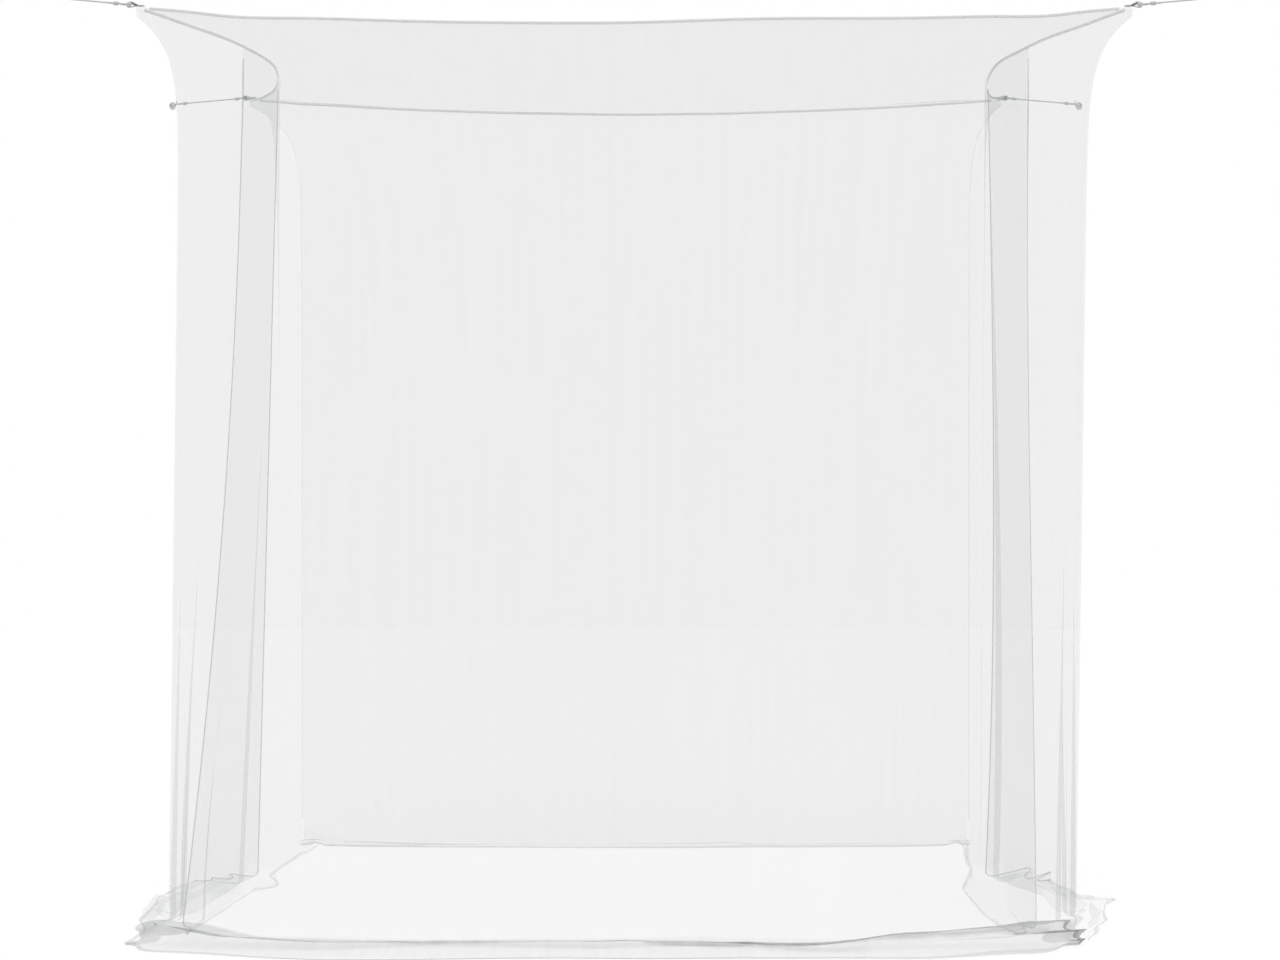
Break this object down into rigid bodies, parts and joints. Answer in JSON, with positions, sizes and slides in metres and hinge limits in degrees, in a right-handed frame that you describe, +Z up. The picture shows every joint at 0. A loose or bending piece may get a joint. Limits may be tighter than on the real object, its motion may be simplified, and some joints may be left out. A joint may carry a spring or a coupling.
{
  "type": "hanging mosquito net",
  "caption": "Box-shaped hanging bed net with a roof drawn out by corner cords, straight walls that pool on the floor, and overlapping side panels whose corners fold open",
  "frame": {"origin": "on the floor, under the middle of the net's outline", "axes": "+X to the right as seen from the front, +Y to the back, +Z up"},
  "size_m": [2.5534, 2.6662, 1.8683],
  "materials": {
    "white_netting": "fine open polyester mesh, see-through",
    "white_tape": "woven binding tape",
    "white_cord": "braided cord",
    "nickel_plate": "nickel-plated wire and plate"
  },
  "bodies": {
    "net": {"roof_panel": "white_netting", "front_wall": "white_netting", "front_wall_hem": "white_tape", "back_wall": "white_netting", "back_wall_hem": "white_tape", "roof_binding_front": "white_tape", "roof_binding_back": "white_tape", "roof_binding_left": "white_tape", "roof_binding_right": "white_tape", "left_front_panel": "white_netting", "left_front_panel_hem": "white_tape", "left_rear_panel": "white_netting", "left_rear_panel_hem": "white_tape", "right_front_panel": "white_netting", "right_front_panel_hem": "white_tape", "right_rear_panel": "white_netting", "right_rear_panel_hem": "white_tape", "corner_seam_front_left": "white_tape", "corner_tab_front_left": "white_tape", "corner_cord_front_left": "white_cord", "wall_hook_front_left": "nickel_plate", "corner_seam_front_right": "white_tape", "corner_tab_front_right": "white_tape", "corner_cord_front_right": "white_cord", "wall_hook_front_right": "nickel_plate", "corner_seam_back_left": "white_tape", "corner_tab_back_left": "white_tape", "corner_cord_back_left": "white_cord", "wall_hook_back_left": "nickel_plate", "corner_seam_back_right": "white_tape", "corner_tab_back_right": "white_tape", "corner_cord_back_right": "white_cord", "wall_hook_back_right": "nickel_plate"},
    "left_front_flap": {"left_front_flap": "white_netting", "left_front_flap_hem": "white_tape", "left_front_flap_binding": "white_tape"},
    "right_front_flap": {"right_front_flap": "white_netting", "right_front_flap_hem": "white_tape", "right_front_flap_binding": "white_tape"},
    "left_rear_flap": {"left_rear_flap": "white_netting", "left_rear_flap_hem": "white_tape", "left_rear_flap_binding": "white_tape"},
    "right_rear_flap": {"right_rear_flap": "white_netting", "right_rear_flap_hem": "white_tape", "right_rear_flap_binding": "white_tape"}
  },
  "joints": [
    {"name": "left_front_flap_fold", "type": "hinge", "parent": "net", "child": "left_front_flap", "pos_m": [-0.87357, -0.58848, 0.0412], "axis": [0.0571, 0.3708, 0.9269], "range_deg": [0, 120]},
    {"name": "right_front_flap_fold", "type": "hinge", "parent": "net", "child": "right_front_flap", "pos_m": [0.89271, -0.58848, 0.0412], "axis": [0.0404, -0.3711, -0.9277], "range_deg": [0, 120]},
    {"name": "left_rear_flap_fold", "type": "hinge", "parent": "net", "child": "left_rear_flap", "pos_m": [-0.79992, 0.11152, 0.0412], "axis": [0.0068, -0.3245, 0.9459], "range_deg": [0, 120]},
    {"name": "right_rear_flap_fold", "type": "hinge", "parent": "net", "child": "right_rear_flap", "pos_m": [0.83529, 0.11152, 0.0412], "axis": [-0.008, 0.3245, -0.9459], "range_deg": [0, 120]}
  ]
}
